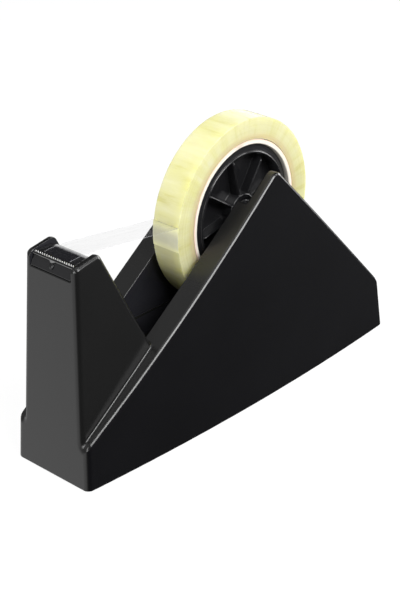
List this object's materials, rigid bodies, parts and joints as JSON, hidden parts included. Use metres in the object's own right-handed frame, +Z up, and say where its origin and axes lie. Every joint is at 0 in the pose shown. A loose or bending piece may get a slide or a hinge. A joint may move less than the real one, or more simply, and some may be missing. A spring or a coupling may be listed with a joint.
{
  "type": "desk tape dispenser",
  "caption": "Weighted desk tape dispenser: serrated cutter on a front tower, and a lift-out hub carrying a roll of clear tape between two triangular cheeks.",
  "frame": {"origin": "centre of the overall box in plan, on the surface the feet rest on", "axes": "+X along the length, from the blade towards the back; +Y across the width; +Z up"},
  "size_m": [0.2505, 0.063, 0.158],
  "materials": {
    "housing_plastic": "satin black moulded plastic",
    "plate_plastic": "matte black moulded plastic",
    "ballast": "cast cement weight",
    "screw_steel": "zinc plated",
    "foot_rubber": "soft matte rubber",
    "head_plastic": "glossy black moulded plastic",
    "blade_steel": "bright stamped strip",
    "rivet_steel": "blackened",
    "axle_steel": "ground pin",
    "hub_plastic": "satin black moulded plastic",
    "core_card": "white lined card",
    "tape_film": "wound clear film, pale yellow in bulk",
    "tape_strip_film": "clear film"
  },
  "bodies": {
    "base": {"housing": "housing_plastic", "base_plate": "plate_plastic", "ballast_front": "ballast", "ballast_rear": "ballast", "base_screw_1": "screw_steel", "base_screw_2": "screw_steel", "base_screw_3": "screw_steel", "base_screw_4": "screw_steel", "foot_1": "foot_rubber", "foot_2": "foot_rubber", "foot_3": "foot_rubber", "foot_4": "foot_rubber", "cutter_head": "head_plastic", "blade": "blade_steel", "blade_rivet": "rivet_steel"},
    "roll_carrier": {"axle": "axle_steel", "tape_strip": "tape_strip_film"},
    "roll": {"hub": "hub_plastic", "tape_core": "core_card", "tape_roll": "tape_film"}
  },
  "joints": [
    {"name": "roll_lift", "type": "slide", "parent": "base", "child": "roll_carrier", "axis": [0, 0, 1], "range_m": [0, 0.095]},
    {"name": "roll_spin", "type": "hinge", "parent": "roll_carrier", "child": "roll", "pos_m": [0.0136, 0, 0.1053], "axis": [0, 1, 0], "continuous": true}
  ]
}
